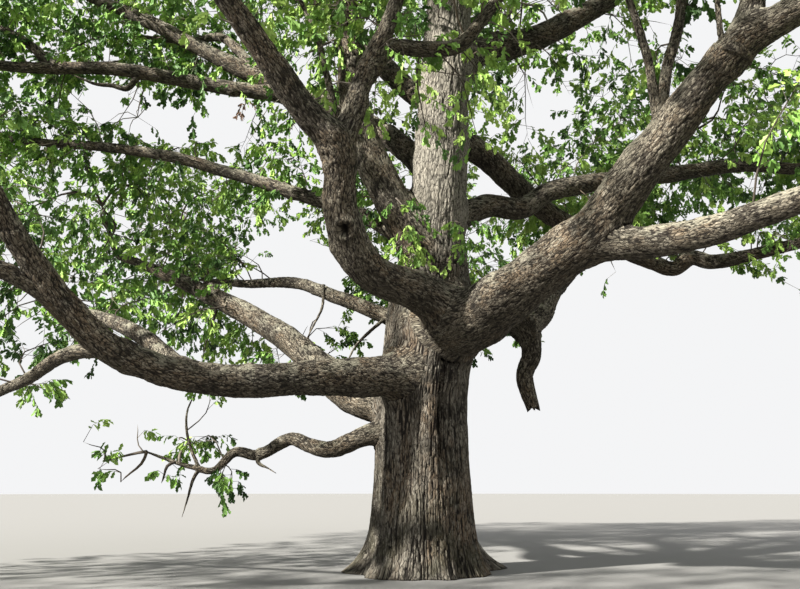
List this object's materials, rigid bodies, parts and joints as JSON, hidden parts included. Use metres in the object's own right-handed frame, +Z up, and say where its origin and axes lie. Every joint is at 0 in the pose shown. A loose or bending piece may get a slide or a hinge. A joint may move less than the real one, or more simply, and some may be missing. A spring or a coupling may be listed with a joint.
{
  "type": "old open-grown oak tree in spring leaf",
  "caption": "Whole oak tree with a short thick flared trunk, long low bending boughs and a wide crown in light spring leaf, fixed in the ground.",
  "frame": {"origin": "centre of the flat cut under the trunk, at ground level", "axes": "+Z up along the trunk, +X to the right and +Y to the back, as seen from the side that the picture shows"},
  "size_m": [31.5279, 26.9083, 23.8582],
  "materials": {
    "trunk_bark": "deeply furrowed dark bark",
    "bough_bark": "rough bark, paler where it is lit and marked with lichen",
    "foliage": "thin spring leaves on slim twigs"
  },
  "bodies": {
    "root": {"trunk": "trunk_bark", "left_low_arm": "bough_bark", "left_low_arm_fork": "bough_bark", "left_low_arm_side": "bough_bark", "left_low_arm_rear": "bough_bark", "front_right_arm": "bough_bark", "front_left_arm": "bough_bark", "front_right_upright": "bough_bark", "front_right_low_bough": "bough_bark", "front_right_riser": "bough_bark", "front_left_upright": "bough_bark", "front_left_crook": "bough_bark", "left_tall_bough": "bough_bark", "rear_left_bough": "bough_bark", "crooked_low_bough": "bough_bark", "rear_left_slim_bough": "bough_bark", "middle_left_bough": "bough_bark", "upper_left_bough": "bough_bark", "upper_left_fork": "bough_bark", "upper_left_side": "bough_bark", "right_bough": "bough_bark", "right_falling_bough": "bough_bark", "upper_right_bough": "bough_bark", "broken_bough": "bough_bark", "broken_bough_elbow": "bough_bark", "back_right_bough": "bough_bark", "back_bough": "bough_bark", "back_left_bough": "bough_bark", "top_left_bough": "bough_bark", "top_back_bough": "bough_bark", "top_front_bough": "bough_bark", "foliage_left_low_arm": "foliage", "foliage_left_low_arm_fork": "foliage", "foliage_left_low_arm_side": "foliage", "foliage_left_low_arm_rear": "foliage", "foliage_front_right_arm": "foliage", "foliage_front_left_arm": "foliage", "foliage_front_right_upright": "foliage", "foliage_front_right_low_bough": "foliage", "foliage_front_left_upright": "foliage", "foliage_front_left_crook": "foliage", "foliage_left_tall_bough": "foliage", "foliage_rear_left_bough": "foliage", "foliage_crooked_low_bough": "foliage", "foliage_rear_left_slim_bough": "foliage", "foliage_middle_left_bough": "foliage", "foliage_upper_left_bough": "foliage", "foliage_upper_left_fork": "foliage", "foliage_upper_left_side": "foliage", "foliage_right_bough": "foliage", "foliage_right_falling_bough": "foliage", "foliage_upper_right_bough": "foliage", "foliage_broken_bough_elbow": "foliage", "foliage_back_right_bough": "foliage", "foliage_back_bough": "foliage", "foliage_back_left_bough": "foliage", "foliage_top_left_bough": "foliage", "foliage_top_back_bough": "foliage", "foliage_top_front_bough": "foliage", "foliage_trunk": "foliage"}
  },
  "joints": []
}
